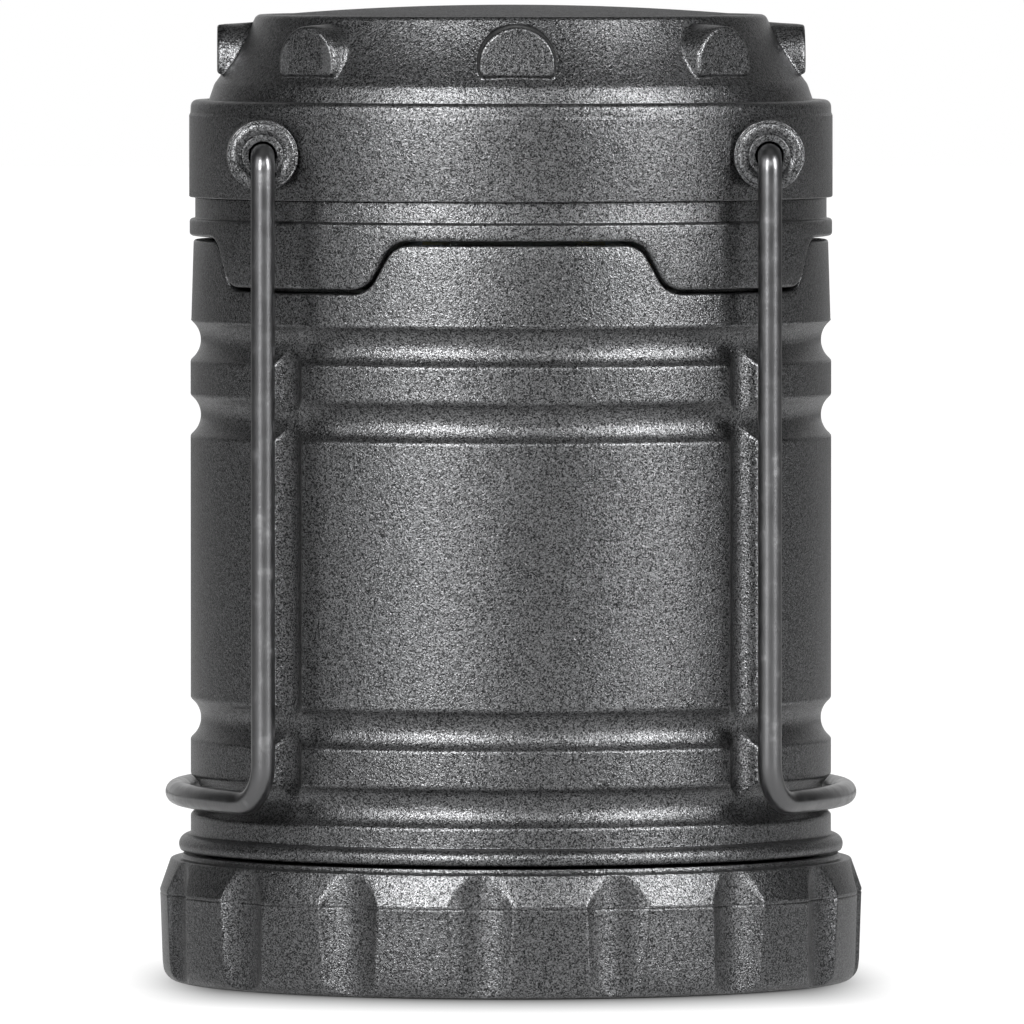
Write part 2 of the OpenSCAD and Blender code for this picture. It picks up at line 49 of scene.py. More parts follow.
# ---- sizes, in millimetres ----
SLEEVE_R = 40.6
SLEEVE_BORE_R = 38.0
SLEEVE_TOP_R = 40.2
DRAFT_Z = 83.8
BEAD_R = 42.1
BEAD_ROUND = 1.3
BEAD_Z = 17.3
BEAD_FOOT_Z = 16.6
SPIGOT_R = 39.0
SPIGOT_Z = 12
BORE_FOOT_R = 37
SLEEVE_EDGE = 0.35
STOP_LIP_R = 37.3
STOP_LIP_Z = (85.2, 87.4)
GROOVE_Z = (23.65, 33.3, 71.7, 81.2)
GROOVE_DEPTH = 1.3
GROOVE_ROUND = 3.05
GROOVE_BLEND = 0.28
FLUTE_DEPTH = 1.22
FLUTE_ROUND = 3.25
FLUTE_BLEND = 0.22
TAB_TOP_Z = 93.9
VALLEY_Z = 87.75
TAB_TOP_HALF = 15.45
TAB_FOOT_HALF = 18.7
TAB_ROUND = 3.2
SEAM_GAP = 0.5
BASE_R = 44.5
BASE_H = 16.3
BASE_BORE_R = 39.4
BASE_FLOOR = 2.6
CHAMFER_Z = 11.6
PARTING_Z = 11.2
SHELF_Z = 15.55
SCALLOPS = 16
SCALLOP_FLOOR_R = 43.1
SCALLOP_ROUND = 7.6
SCALLOP_START = -6.1
SCALLOP_EDGE = 5.3
RING_R = 41.6
RING_TOP_Z = BASE_H - 0.15
FOOT_ROUND = 1.9
BASE_DRAFT = 0.4
PARTING_DEPTH = 0.1
PARTING_HALF = 0.09
SKIRT_R = 40.7
SKIRT_BORE_R = 37.2
NECK_R = 40.0
NECK_Z = 96.6
PLATE_Z = 96.4
PLATE_BORE_R = 30
SKIRT_EDGE = 0.45
COLLAR_R = 40.76
COLLAR_Z = 99.3
COLLAR_TOP_Z = 111.6
COLLAR_BORE_R = 37.9
RIM_Z = 122.4
DISC_R = 30.9
DOME_RISE = 1.2
SHOULDER_R = 38.25
SHOULDER_SLOPE = 0.34
BROW_R = 37.45
BROW_Z = 113.75
CONE_TOP_R = 32.46
CONE_TOP_Z = 121.87
CONE_HOLLOW = 1.1
CREASE = 0.12
RIM_ROUND = 0.95
BUMPS = 8
BUMP_FACE_R = 37.2
BUMP_HALF = 4.8
BUMP_ARCH = 4.75
BUMP_Z = 116.4
BUMP_FOOT_Z = 114.85
BUMP_FOOT_LEAN = 0.9
BUMP_SIDE_LEAN = 0.25
BUMP_TOP_LEAN = 0.06
BUMP_ROUND = 0.42
BUMP_CORNER = 1.0
BUMP_REACH = 9
PIVOT_X = 31.7
PIVOT_Z = 105.0
EAR_R = 4.45
EAR_FACE_Y = 31.5
WIRE_R = 1.5
PIN_END_Y = 25.8
LEG_Y = 33.4
BIGHT_Z = 23.9
BIGHT_TURN = math.radians(30.9)
CORNER_BEND = 5.0
TOP_BEND = 1.8
PIN_CHAMFER = 0.25

# ---- the floor's painted shadow: where its glow starts and where it is full, in metres ----
PAINTED_SHADOW_AHEAD = (0.0395, 0.07)
PAINTED_SHADOW_ASIDE = (0.036, 0.052)


# ---- mesh helpers ----

def arc(centre_x, centre_y, radius, start, end, count=8):
    """Points on a circle: centre plus radius times (cos, sin) of evenly spaced degrees."""
    angle = np.radians(np.linspace(start, end, count))
    return np.stack([centre_x + radius * np.cos(angle), centre_y + radius * np.sin(angle)], 1)


def rounded(corners, steps=6):
    """A closed outline with each corner (x, y, radius) turned into an arc.

    The arc starts radius / tan(half the corner's angle) before the corner, and its centre
    lies on the bisector at radius / sin(half the angle).
    """
    corner = np.array(corners, float)
    place, radius = corner[:, :2], corner[:, 2]
    pieces = []
    for here, before, after, r in zip(place, np.roll(place, 1, 0), np.roll(place, -1, 0), radius):
        if r <= 0:
            pieces.append(here[None])
            continue
        back = (before - here) / np.linalg.norm(before - here)
        ahead = (after - here) / np.linalg.norm(after - here)
        half = math.acos(np.clip(back @ ahead, -1, 1)) / 2
        bisector = (back + ahead) / np.linalg.norm(back + ahead)
        centre = here + bisector * r / math.sin(half)
        first = here + back * r / math.tan(half) - centre
        last = here + ahead * r / math.tan(half) - centre
        sweep = math.pi - 2 * half
        share = np.linspace(0, 1, steps)[:, None]
        pieces.append(centre + (np.sin((1 - share) * sweep) * first + np.sin(share * sweep) * last)
                      / math.sin(sweep))
    return np.concatenate(pieces)


def grid_faces(rows, columns, wrap_rows, wrap_columns):
    """Quads of a grid whose vertices run row by row."""
    row = np.arange(rows if wrap_rows else rows - 1)[:, None]
    column = np.arange(columns if wrap_columns else columns - 1)[None]
    up, along = (row + 1) % rows, (column + 1) % columns
    return np.stack([row * columns + column, row * columns + along,
                     up * columns + along, up * columns + column], -1).reshape(-1, 4)


def piece(name, grids, body, material, replaces=()):
    """One object from several grids, each (points, wrap_rows, wrap_columns), in millimetres.

    Doubled vertices at poles are merged, and faces are turned to point outwards.
    """
    points, faces, count = [], [], 0
    for grid, wrap_rows, wrap_columns in grids:
        rows, columns = grid.shape[:2]
        faces.append(grid_faces(rows, columns, wrap_rows, wrap_columns) + count)
        points.append(grid.reshape(-1, 3))
        count += rows * columns
    mesh = bpy.data.meshes.new(name)
    mesh.from_pydata((np.concatenate(points) * MM).tolist(), [], np.concatenate(faces).tolist())
    outward(mesh)
    mesh.shade_smooth()
    mesh.materials.append(material)
    made = bpy.data.objects.new(name, mesh)
    bpy.context.scene.collection.objects.link(made)
    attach(made, body)
    if replaces:
        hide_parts(*replaces)
    return made


def outward(mesh):
    """Merges doubled vertices and makes the normals of each closed shell point out."""
    work = bmesh.new()
    work.from_mesh(mesh)
    bmesh.ops.remove_doubles(work, verts=work.verts, dist=1e-7)
    bmesh.ops.dissolve_degenerate(work, edges=work.edges, dist=1e-8)
    bmesh.ops.recalc_face_normals(work, faces=work.faces)
    work.to_mesh(mesh)
    work.free()


def spun(radius, height, angle):
    """Grid of a profile spun about the Z axis: radius and height per row, angle per column."""
    radius, height = np.broadcast_arrays(radius, height)
    if radius.ndim == 1:
        radius, height = radius[:, None], height[:, None]
    shape = np.broadcast_shapes(radius.shape, (1, len(angle)))
    x, y = radius * np.cos(angle), radius * np.sin(angle)
    return np.stack([x, y, np.broadcast_to(height, shape)], -1)


def ring_angles(count):
    return np.linspace(0, 2 * np.pi, count, endpoint=False)


def soft_min(a, b, blend):
    """The smaller of a and b, with the crease between them rounded over a width of blend."""
    share = np.clip(0.5 + 0.5 * (b - a) / blend, 0, 1)
    return b + (a - b) * share - blend * share * (1 - share)


# ---- the wavy seam ----

def seam_outline(grow):
    """Half of a tab as (distance from its middle, height), moved out by grow on every side."""
    slope = math.atan2(TAB_TOP_Z - VALLEY_Z, TAB_FOOT_HALF - TAB_TOP_HALF)
    top_x = TAB_TOP_HALF + grow / math.sin(slope) - grow / math.tan(slope)
    foot_x = TAB_FOOT_HALF + grow / math.sin(slope)
    reach = TAB_ROUND * math.tan(slope / 2)
    degrees = math.degrees(slope)
    head = arc(top_x - reach, TAB_TOP_Z + grow - TAB_ROUND, TAB_ROUND, 90, 90 - degrees, 10)
    foot = arc(foot_x - grow / math.tan(slope) + reach, VALLEY_Z + grow + TAB_ROUND,
               TAB_ROUND, 270 - degrees, 270, 10)
    return np.concatenate([head, foot])


def seam_height(angle, radius, grow=0.0):
    """Height of the seam, and the cosine of its slope, at each angle round the lantern."""
    quarter = (angle + np.pi / 4) % (np.pi / 2) - np.pi / 4
    across = radius * np.sin(quarter)
    outline = seam_outline(grow)
    height = np.interp(np.abs(across), outline[:, 0], outline[:, 1])
    step = 0.05
    rise = np.interp(np.abs(across) + step, outline[:, 0], outline[:, 1]) - np.interp(
        np.abs(across) - step, outline[:, 0], outline[:, 1])
    return height, np.cos(np.arctan(rise / (2 * step)))


def gathered_angles(count, sectors, spots, start=0.0):
    """Angles in equal sectors, closer together at each spot.

    A spot is (degrees from the middle of its sector, width in degrees, gain), and the spacing
    there is about 1 / (1 + gain) of the plain one. start is the middle of the first sector.
    """
    half = np.pi / sectors
    fine = np.linspace(-half, half, 4000)
    density = np.ones_like(fine)
    for spot, width, gain in spots:
        density += gain * np.exp(-((np.abs(fine) - np.radians(spot)) / np.radians(width)) ** 4)
    share = np.cumsum(density)
    share = (share - share[0]) / (share[-1] - share[0])
    one = np.interp(np.linspace(0, 1, count, endpoint=False), share, fine)
    return np.concatenate([start + one + sector * 2 * half for sector in range(sectors)])


def seam_angles(per_quarter):
    """Angles round the lantern, closer together at the seam's slopes and at the flutes."""
    return gathered_angles(per_quarter, 4, [(25, 5, 3.0), (45, 5, 2.2)])


# ---- shells ----

def groove_profile(height):
    """Wall radius at each height: a wall drafted near its top, cut by four round grooves."""
    radius = np.full_like(height, SLEEVE_R)
    draft_r = SLEEVE_R - 0.1
    drafted = draft_r + (SLEEVE_TOP_R - draft_r) * (height - DRAFT_Z) / (TAB_TOP_Z - DRAFT_Z)
    radius = np.where(height > DRAFT_Z, drafted, radius)
    for z in GROOVE_Z:
        inside = np.maximum(GROOVE_ROUND ** 2 - (height - z) ** 2, 0)
        cut = SLEEVE_R - GROOVE_DEPTH + GROOVE_ROUND - np.sqrt(inside)
        radius = soft_min(radius, cut, GROOVE_BLEND)
    return radius


def flute_profile(angle):
    """Radius of the four upright flutes at each angle: the near side of a round cutter."""
    centre = SLEEVE_R - FLUTE_DEPTH + FLUTE_ROUND
    quarter = angle % (np.pi / 2) - np.pi / 4
    inside = FLUTE_ROUND ** 2 - (centre * np.sin(quarter)) ** 2
    near = centre * np.cos(quarter) - np.sqrt(np.maximum(inside, 0))
    return np.where(inside > 0, near, centre + 5)


def housing(paint):
    """The ribbed sleeve: bead, ridges, grooves and flutes below a wavy, rounded top edge."""
    angle = seam_angles(136)
    foot = np.concatenate([
        [[SPIGOT_R, SPIGOT_Z], [SPIGOT_R, BEAD_FOOT_Z]],
        arc(BEAD_R - BEAD_ROUND, BEAD_Z, BEAD_ROUND, -33, 80, 16),
        [[SLEEVE_R + 0.1, 18.62], [SLEEVE_R, 18.7], [SLEEVE_R, 18.8], [SLEEVE_R, 20.2]]])
    wall_top_z = 84.4
    # (lowest, highest, rows): dense over each groove, sparse between
    bands = [(20.4, 26.8, 30), (28.5, 29.6, 2), (30.2, 36.6, 30), (40, 64, 7), (68.4, 74.9, 28),
             (76.2, 76.8, 2), (78.2, wall_top_z, 28)]
    low_z = np.concatenate([np.linspace(*band) for band in bands])
    low_r = groove_profile(low_z)[:, None]
    fluted = (low_z > GROOVE_Z[0]) & (low_z < GROOVE_Z[3])
    flutes = soft_min(low_r, flute_profile(angle)[None], FLUTE_BLEND)
    low_r = np.where(fluted[:, None], flutes, low_r)
    low_h = np.broadcast_to(low_z[:, None], low_r.shape)

    top, cosine = seam_height(angle, SLEEVE_TOP_R)
    turn = np.radians(np.linspace(0, 90, 6))[:, None]
    rise = np.linspace(0.25, 1, 4)[:, None]
    high_h = np.concatenate([
        wall_top_z + (top - SLEEVE_EDGE / cosine - wall_top_z) * rise,
        top - SLEEVE_EDGE * (1 - np.sin(turn[1:])) / cosine])
    high_r = groove_profile(high_h)
    high_r[len(rise):] -= SLEEVE_EDGE * (1 - np.cos(turn[1:]))

    lip_low_z, lip_top_z = STOP_LIP_Z
    inner = np.array([
        [SLEEVE_BORE_R, lip_top_z + 0.2], [STOP_LIP_R, lip_top_z], [STOP_LIP_R, lip_low_z],
        [SLEEVE_BORE_R, lip_low_z], [SLEEVE_BORE_R, 40], [SLEEVE_BORE_R, 20],
        [BORE_FOOT_R, 19], [BORE_FOOT_R, SPIGOT_Z]])
    lip_h = np.stack([top, top - 0.3])
    lip_r = np.array([[SLEEVE_BORE_R + 0.3], [SLEEVE_BORE_R]])
    full = (1, len(angle))
    radius = np.concatenate([foot[:, :1] * np.ones(full), low_r, high_r, lip_r * np.ones(full),
                             inner[:, :1] * np.ones(full)])
    height = np.concatenate([foot[:, 1:] * np.ones(full), low_h, high_h, lip_h,
                             inner[:, 1:] * np.ones(full)])
    grid = spun(radius, height, angle)
    return piece("housing", [(grid, True, True)], "body", paint, ["body_sleeve"])


def scallop_profile(angle):
    """Radius of the finger scallops at each angle: the near side of a ring of round cutters."""
    pitch = 2 * np.pi / SCALLOPS
    start = np.radians(SCALLOP_START - 90)
    centre = SCALLOP_FLOOR_R + SCALLOP_ROUND
    local = (angle - start + pitch / 2) % pitch - pitch / 2
    inside = SCALLOP_ROUND ** 2 - (centre * np.sin(local)) ** 2
    near = centre * np.cos(local) - np.sqrt(np.maximum(inside, 0))
    return np.where(inside > 0, near, centre)


def parting_line(height):
    """Depth of the fine groove round the base cap: a bell curve of the height."""
    return PARTING_DEPTH * np.exp(-((height - PARTING_Z) / PARTING_HALF) ** 2)


def base_cap(paint):
    """The twist cap: a rounded foot, a slightly drafted wall, a chamfer and finger scallops."""
    angle = gathered_angles(46, SCALLOPS, [(SCALLOP_EDGE, 0.7, 3.5)],
                            np.radians(SCALLOP_START - 90))
    low_r = BASE_R - BASE_DRAFT
    foot = arc(low_r - FOOT_ROUND, FOOT_ROUND, FOOT_ROUND, 270, 358, 12)
    wall_z = np.linspace(2.6, 10.8, 9)
    wall = np.stack([low_r + BASE_DRAFT * wall_z / CHAMFER_Z, wall_z], 1)
    near_line = PARTING_Z + np.linspace(-0.2, 0.2, 9)
    line = np.stack([np.full(9, BASE_R), near_line], 1)
    sole_r, shelf_r, shelf_inner_r = 41.4, 43.12, 41.95
    chamfer = rounded([(BASE_R, 11.45, 0), (BASE_R, CHAMFER_Z, 0.12), (shelf_r, SHELF_Z, 0.35),
                       (shelf_inner_r, SHELF_Z, 0)], 7)
    low_end = 8  # rows of the chamfer's straight end and its first arc
    slope = np.linspace(chamfer[low_end - 1], chamfer[low_end], 9)[1:-1]
    ring = rounded([(RING_R, SHELF_Z, 0), (RING_R, RING_TOP_Z, 0.15),
                    (BASE_BORE_R, RING_TOP_Z, 0.3), (BASE_BORE_R, BASE_FLOOR, 0),
                    (0.0, BASE_FLOOR, 0)], 5)
    outline = np.concatenate([
        [[0, 0], [sole_r, 0]], foot, wall, line, chamfer[:low_end], slope, chamfer[low_end:], ring])
    radius, height = outline[:, :1], outline[:, 1:]
    cut = soft_min(radius, scallop_profile(angle)[None], 0.1) - parting_line(height)
    wall_inside_r = 42  # the underside, the ring and the shelf's inner edge stay round
    grid = spun(np.where(radius > wall_inside_r, cut, radius), height, angle)
    return piece("twist_cap", [(grid, False, True)], "base", paint, ["base_cap"])


def skirt(paint):
    """The skirt ring: a rounded wavy lower edge, a flange and a narrower neck above it."""
    angle = seam_angles(150)
    low, cosine = seam_height(angle, SKIRT_R, SEAM_GAP)
    turn = np.radians(np.linspace(90, 0, 6))[:, None]
    lower_h = low + SKIRT_EDGE * (1 - np.sin(turn)) / cosine
    lower_r = SKIRT_R - SKIRT_EDGE * (1 - np.cos(turn))
    step = rounded([(SKIRT_R, NECK_Z - 1.6, 0), (SKIRT_R, NECK_Z, 0.4), (NECK_R, NECK_Z, 0.25),
                    (NECK_R, COLLAR_Z, 0.15), (PLATE_BORE_R, COLLAR_Z, 0),
                    (PLATE_BORE_R, PLATE_Z, 0), (SKIRT_BORE_R, PLATE_Z, 0),
                    (SKIRT_BORE_R, 95.5, 0)], 6)
    full = (1, len(angle))
    start = (step[0, 1] + lower_h[-1]) / 2
    radius = np.concatenate([
        lower_r * np.ones(full), SKIRT_R * np.ones(full), step[:, :1] * np.ones(full),
        SKIRT_BORE_R * np.ones(full)])
    height = np.concatenate([lower_h, start[None], step[:, 1:] * np.ones(full), low[None]])
    grid = spun(radius, height, angle)
    return piece("skirt", [(grid, True, True)], "head", paint, ["skirt_ring"])


def ear(side_x, side_y):
    """A round boss with a rolled rim and a dished face, spun about its own Y axis."""
    outline = rounded([
        (1.75, 26.0, 0), (1.75, 31.1, 0.12), (2.5, 31.2, 0.1), (2.6, 31.08, 0.04),
        (2.72, 31.18, 0.08), (3.3, EAR_FACE_Y, 0.9), (4.0, 31.38, 0.6),
        (4.2, 31.12, 0.1), (4.28, 31.2, 0.06), (EAR_R, 31.2, 0.12), (EAR_R, 16.0, 0)], 7)
    turn = ring_angles(72)
    radius, along = outline[:, :1], outline[:, 1:]
    x = side_x * PIVOT_X + radius * np.cos(turn)
    z = PIVOT_Z + radius * np.sin(turn)
    return np.stack([x, np.broadcast_to(side_y * along, x.shape), z], -1)


def collar(paint):
    """The collar, with a fine facet and a rounded edge above it, and the bails' four bosses."""
    angle = ring_angles(360)
    facet_r, facet_low_z, facet_top_z = 40.6, 109.62, 110.0
    top_r, seat_r, seat_z = 40.54, 38.55, 109.6
    outline = rounded([
        (COLLAR_BORE_R, COLLAR_Z, 0), (COLLAR_R, COLLAR_Z, 0.18), (COLLAR_R, facet_low_z, 0.06),
        (facet_r, facet_top_z, 0.06), (top_r, COLLAR_TOP_Z, 0.85), (seat_r, COLLAR_TOP_Z, 0.1),
        (seat_r, seat_z, 0), (COLLAR_BORE_R, seat_z, 0)], 7)
    band = spun(outline[:, 0], outline[:, 1], angle)
    ears = [(ear(x, y), False, True) for x in (-1, 1) for y in (-1, 1)]
    return piece("collar_band", [(band, True, True)] + ears, "head", paint,
                 ["collar", "ear_bushes"])


def cone_radius(height):
    """The cap's outside: a short steep shoulder, then a slightly hollow cone up to the rim."""
    shoulder = SHOULDER_R - SHOULDER_SLOPE * (height - COLLAR_TOP_Z)
    share = (height - BROW_Z) / (CONE_TOP_Z - BROW_Z)
    cone = BROW_R + (CONE_TOP_R - BROW_R) * share - CONE_HOLLOW * share * (1 - share)
    return soft_min(shoulder, cone, CREASE)


def bump_radius(local, height):
    """Radius of a D-shaped bump at each angle from its middle, and at each height.

    The D at the face is a half ellipse over an upright band, with rounded lower corners. Its
    edge is a quarter round, and beyond that the depth below the face is the distance outside
    the D over the flank's lean; the flat foot is a chamfer.
    """
    across = np.abs(BUMP_FACE_R * np.tan(local))
    above = np.maximum(height - BUMP_Z, 0)
    wide, tall = (across / BUMP_HALF) ** 2, (above / BUMP_ARCH) ** 2
    scale = np.sqrt(wide + tall)
    lean = (wide * BUMP_SIDE_LEAN + tall * BUMP_TOP_LEAN) / np.maximum(wide + tall, 1e-6)
    side, foot = (scale - 1) * BUMP_HALF, BUMP_FOOT_Z - height
    lean = lean + (BUMP_FOOT_LEAN - lean) * np.clip((foot - side) / 0.5 + 0.5, 0, 1)
    beyond = -soft_min(-side, -foot, BUMP_CORNER)
    turned = np.clip(beyond + BUMP_ROUND, 0, BUMP_ROUND)
    depth = BUMP_ROUND - np.sqrt(BUMP_ROUND ** 2 - turned ** 2)
    depth = depth + np.minimum(np.maximum(beyond, 0) / np.maximum(lean, 0.02), BUMP_REACH)
    return BUMP_FACE_R / np.cos(local) - depth


def cap(paint):
    """The cap shell: a shoulder, a cone with eight bumps and a rolled rim round the disc."""
    angle = gathered_angles(104, BUMPS, [(8.0, 2.4, 2.6)])
    pitch = 2 * np.pi / BUMPS
    local = (angle + pitch / 2) % pitch - pitch / 2
    height = np.concatenate([
        [109.7, 110.6, COLLAR_TOP_Z], np.linspace(112.2, 113.4, 3), np.linspace(113.6, 115.4, 13),
        np.linspace(115.6, CONE_TOP_Z, 56)])[:, None]
    cone = cone_radius(height)
    shell = -soft_min(-cone, -np.clip(bump_radius(local[None], height), 30, 40), CREASE)
    rim = arc(CONE_TOP_R - 0.854, CONE_TOP_Z - 0.416, RIM_ROUND, 28, 90, 8)
    seat_r, shelf_r, wall_r, skirt_r, skirt_z = DISC_R + 0.12, 29, 35.4, 37.6, 106
    inside = np.array([
        [DISC_R + 0.25, RIM_Z], [seat_r, RIM_Z - 0.1], [seat_r, RIM_Z - 1.5],
        [shelf_r, RIM_Z - 1.5], [shelf_r, RIM_Z - 3], [wall_r, 114], [wall_r, skirt_z],
        [skirt_r, skirt_z], [skirt_r, 109.7]])
    rest = np.concatenate([rim, inside])
    full = (1, len(angle))
    radius = np.concatenate([shell, rest[:, :1] * np.ones(full)])
    grid = spun(radius, np.concatenate([height, rest[:, 1:]]), angle)
    return piece("cap_cover", [(grid, True, True)], "head", paint, ["cap_shell"])


def top_disc(paint):
    """The shallow domed disc in the cap: height falls with the square of the radius."""
    angle = ring_angles(192)
    radius = np.linspace(0, DISC_R - 0.2, 24)
    rise = RIM_Z + DOME_RISE - (DOME_RISE + 0.15) * (radius / DISC_R) ** 2
    radius = np.concatenate([radius, [DISC_R - 0.05, DISC_R, DISC_R, 0]])
    height = np.concatenate([rise, [RIM_Z - 0.2, RIM_Z - 0.35, RIM_Z - 1.4, RIM_Z - 1.4]])
    grid = spun(radius, height, angle)
    return piece("top_disc", [(grid, False, True)], "head", paint, ["cap_disc"])


# ---- bails ----

def bail_path():
    """Centre line of the right bail and a unit vector across it at each point.

    Pin, quarter bend, straight leg, quarter bend into the bight, half of the bight's arc;
    the other half is its mirror image in Y.
    """
    turn = np.linspace(0, np.pi / 2, 10)[1:, None]
    pin = np.array([[PIVOT_X, PIN_END_Y, PIVOT_Z], [PIVOT_X, LEG_Y - TOP_BEND, PIVOT_Z]])
    elbow = np.array([PIVOT_X, LEG_Y - TOP_BEND, PIVOT_Z - TOP_BEND])
    top = elbow + TOP_BEND * (np.sin(turn) * [0, 1, 0] + np.cos(turn) * [0, 0, 1])
    heading = np.array([math.sin(BIGHT_TURN), -math.cos(BIGHT_TURN), 0])
    leg_z = np.linspace(PIVOT_Z - TOP_BEND, BIGHT_Z + CORNER_BEND, 26)[1:, None]
    leg = np.array([PIVOT_X, LEG_Y, 0]) + leg_z * [0, 0, 1]
    corner = np.array([PIVOT_X, LEG_Y, BIGHT_Z + CORNER_BEND]) + heading * CORNER_BEND
    bend = corner - CORNER_BEND * (np.cos(turn) * heading + np.sin(turn) * [0, 0, 1])
    last = bend[-1]
    bight_r = last[1] / math.sin(BIGHT_TURN)
    middle = np.array([last[0] - bight_r * math.cos(BIGHT_TURN), 0, BIGHT_Z])
    swing = np.linspace(BIGHT_TURN, 0, 24)[1:, None]
    bight = middle + bight_r * (np.cos(swing) * [1, 0, 0] + np.sin(swing) * [0, 1, 0])
    half = np.concatenate([pin, top, leg, bend, bight])
    return np.concatenate([half, half[-2::-1] * [1, -1, 1]])


def bail(name, side, body, wire):
    """Round wire swept along the bail's path, with chamfered ends.

    At each point the section's circle lies across the path's direction. Its first axis starts
    square to the path, and is carried along from point to point, less the part of it that lies
    along the new direction.
    """
    path = bail_path()
    ahead = np.gradient(path, axis=0)
    ahead /= np.linalg.norm(ahead, axis=1, keepdims=True)
    lean = np.array([1.0, 0.35, 0.2]) / np.linalg.norm([1.0, 0.35, 0.2])
    first = [np.cross(ahead[0], lean)]
    first[0] /= np.linalg.norm(first[0])
    for tangent in ahead[1:]:
        carried = first[-1] - tangent * (first[-1] @ tangent)
        first.append(carried / np.linalg.norm(carried))
    first = np.array(first)
    second = np.cross(ahead, first)
    start, end = path[0] - ahead[0] * 0.01, path[-1] + ahead[-1] * 0.01
    path = np.concatenate([[start, start], path, [end, end]])
    first = np.concatenate([first[:1]] * 2 + [first] + [first[-1:]] * 2)
    second = np.concatenate([second[:1]] * 2 + [second] + [second[-1:]] * 2)
    tip = WIRE_R - PIN_CHAMFER
    radius = np.concatenate([[0, tip], np.full(len(path) - 4, WIRE_R), [tip, 0]])
    turn = ring_angles(28)[None, :, None]
    ring = first[:, None] * np.cos(turn) + second[:, None] * np.sin(turn)
    grid = (path[:, None] + ring * radius[:, None, None]) * [side, 1, 1]
    return piece(name + "_wire", [(grid, False, True)], body, wire, [name])


# ---- shader groups and materials ----

def group_tree(name, inputs, outputs):
    """A shader node group with named float inputs (name: default) and named outputs."""
    tree = bpy.data.node_groups.new(name, "ShaderNodeTree")
    for label, value in inputs.items():
        socket = tree.interface.new_socket(label, in_out="INPUT", socket_type="NodeSocketFloat")
        socket.default_value = value
    for label, kind in outputs.items():
        tree.interface.new_socket(label, in_out="OUTPUT", socket_type=kind)
    return tree, tree.nodes.new("NodeGroupInput"), tree.nodes.new("NodeGroupOutput")


def node(tree, kind, links=(), **values):
    """A node with its properties and socket values set, and (from socket, to input) links."""
    made = tree.nodes.new(kind)
    for key, value in values.items():
        if hasattr(made, key):
            setattr(made, key, value)
        else:
            made.inputs[key.replace("_", " ")].default_value = value
    for source, target in links:
        tree.links.new(source, made.inputs[target])
    return made


def math_node(tree, operation, first, second):
    made = tree.nodes.new("ShaderNodeMath")
    made.operation = operation
    for slot_index, value in enumerate((first, second)):
        if isinstance(value, (int, float)):
            made.inputs[slot_index].default_value = value
        else:
            tree.links.new(value, made.inputs[slot_index])
    return made.outputs[0]


def sand_grain_group():
    """Fine sandy grain and metal flakes.

    Height is a fine noise plus a softer one at just under half its frequency. Flake is a
    random value for each small cell, and Drift a slow noise over centimetres.
    """
    coarse_share, coarse_weight = 0.45, 0.7
    tree, given, out = group_tree(
        "sand_grain", {"Grain Scale": 5600.0, "Flake Scale": 6800.0, "Drift Scale": 45.0},
        {"Height": "NodeSocketFloat", "Flake": "NodeSocketFloat", "Drift": "NodeSocketFloat"})
    where = tree.nodes.new("ShaderNodeTexCoord").outputs["Object"]
    coarse = math_node(tree, "MULTIPLY", given.outputs["Grain Scale"], coarse_share)
    fine = node(tree, "ShaderNodeTexNoise", [
        (where, "Vector"), (given.outputs["Grain Scale"], "Scale")], Detail=1.5, Roughness=0.6)
    soft = node(tree, "ShaderNodeTexNoise", [(where, "Vector"), (coarse, "Scale")], Detail=1.0)
    both = math_node(tree, "MULTIPLY_ADD", soft.outputs["Fac"], coarse_weight)
    tree.links.new(fine.outputs["Fac"], both.node.inputs[2])
    cells = node(tree, "ShaderNodeTexVoronoi", [
        (where, "Vector"), (given.outputs["Flake Scale"], "Scale")])
    split = node(tree, "ShaderNodeSeparateColor", [(cells.outputs["Color"], "Color")])
    drift = node(tree, "ShaderNodeTexNoise", [
        (where, "Vector"), (given.outputs["Drift Scale"], "Scale")], Detail=3.0)
    tree.links.new(both, out.inputs["Height"])
    tree.links.new(split.outputs[0], out.inputs["Flake"])
    tree.links.new(drift.outputs["Fac"], out.inputs["Drift"])
    return tree


def painted_edge_highlight_group():
    """Painted highlight mask: 1 on convex edges, broken up by a noise of about a millimetre."""
    tree, given, out = group_tree(
        "painted_edge_highlight", {"Start": 0.52, "Sharpness": 12.0, "Break Scale": 900.0},
        {"Mask": "NodeSocketFloat"})
    where = tree.nodes.new("ShaderNodeTexCoord").outputs["Object"]
    bend = tree.nodes.new("ShaderNodeNewGeometry").outputs["Pointiness"]
    over = math_node(tree, "SUBTRACT", bend, given.outputs["Start"])
    ramp = math_node(tree, "MULTIPLY", over, given.outputs["Sharpness"])
    broken = node(tree, "ShaderNodeTexNoise", [
        (where, "Vector"), (given.outputs["Break Scale"], "Scale")], Detail=2.0)
    mask = math_node(tree, "MULTIPLY", ramp, broken.outputs["Fac"])
    mask.node.use_clamp = True
    tree.links.new(mask, out.inputs["Mask"])
    return tree


GRAIN = sand_grain_group()
EDGE_HIGHLIGHT = painted_edge_highlight_group()


def new_material(name, **values):
    """A material with one Principled shader whose plain sockets are set from values."""
    made = bpy.data.materials.new(name)
    made.use_nodes = True
    tree = made.node_tree
    shader = tree.nodes["Principled BSDF"]
    for key, value in values.items():
        shader.inputs[key.replace("_", " ")].default_value = value
    return made, tree, shader


def grouped(tree, group, **values):
    """A shader group placed in a material with its own values."""
    made = tree.nodes.new("ShaderNodeGroup")
    made.node_tree = group
    for key, value in values.items():
        made.inputs[key.replace("_", " ")].default_value = value
    return made


